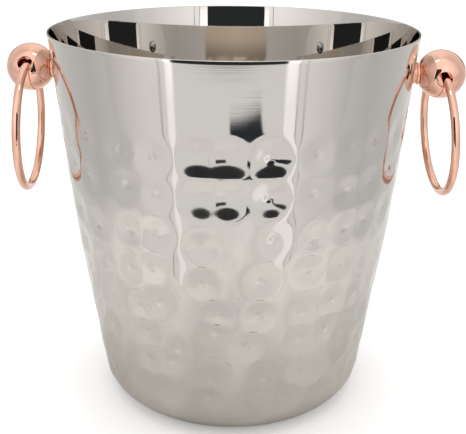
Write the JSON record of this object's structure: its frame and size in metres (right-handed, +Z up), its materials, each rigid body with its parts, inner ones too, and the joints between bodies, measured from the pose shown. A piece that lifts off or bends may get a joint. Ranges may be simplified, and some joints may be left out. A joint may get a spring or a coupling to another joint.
{
  "type": "ice bucket",
  "caption": "Hammered stainless ice bucket, tapered, with copper-plated ball and ring handles that swing.",
  "frame": {"origin": "middle of the standing ring under the bucket, on the table", "axes": "+Z up along the bucket's axis, +X and -X through the two handles, front towards -Y"},
  "size_m": [0.2534, 0.2, 0.2075],
  "materials": {
    "hammered_steel": "hammered, then polished",
    "copper_plate": "polished rose-copper plate",
    "copper_ring": "polished rose-copper plate",
    "fastener_steel": "plain stainless",
    "seal": "translucent nylon"
  },
  "bodies": {
    "bucket_body": {"bucket": "hammered_steel", "left_ball": "copper_plate", "left_collar": "copper_plate", "left_seal": "seal", "left_backing_pad": "fastener_steel", "left_spring_washer": "fastener_steel", "left_screw": "fastener_steel", "right_ball": "copper_plate", "right_collar": "copper_plate", "right_seal": "seal", "right_backing_pad": "fastener_steel", "right_spring_washer": "fastener_steel", "right_screw": "fastener_steel"},
    "left_ring_body": {"left_ring": "copper_ring"},
    "right_ring_body": {"right_ring": "copper_ring"}
  },
  "joints": [
    {"name": "left_ring_swing", "type": "hinge", "parent": "bucket_body", "child": "left_ring_body", "pos_m": [-0.1134, 0, 0.184], "axis": [0, 0.9511, -0.309], "range_deg": [-18, 205]},
    {"name": "right_ring_swing", "type": "hinge", "parent": "bucket_body", "child": "right_ring_body", "pos_m": [0.1134, 0, 0.184], "axis": [0, -0.9986, -0.0523], "range_deg": [-20, 205]}
  ]
}
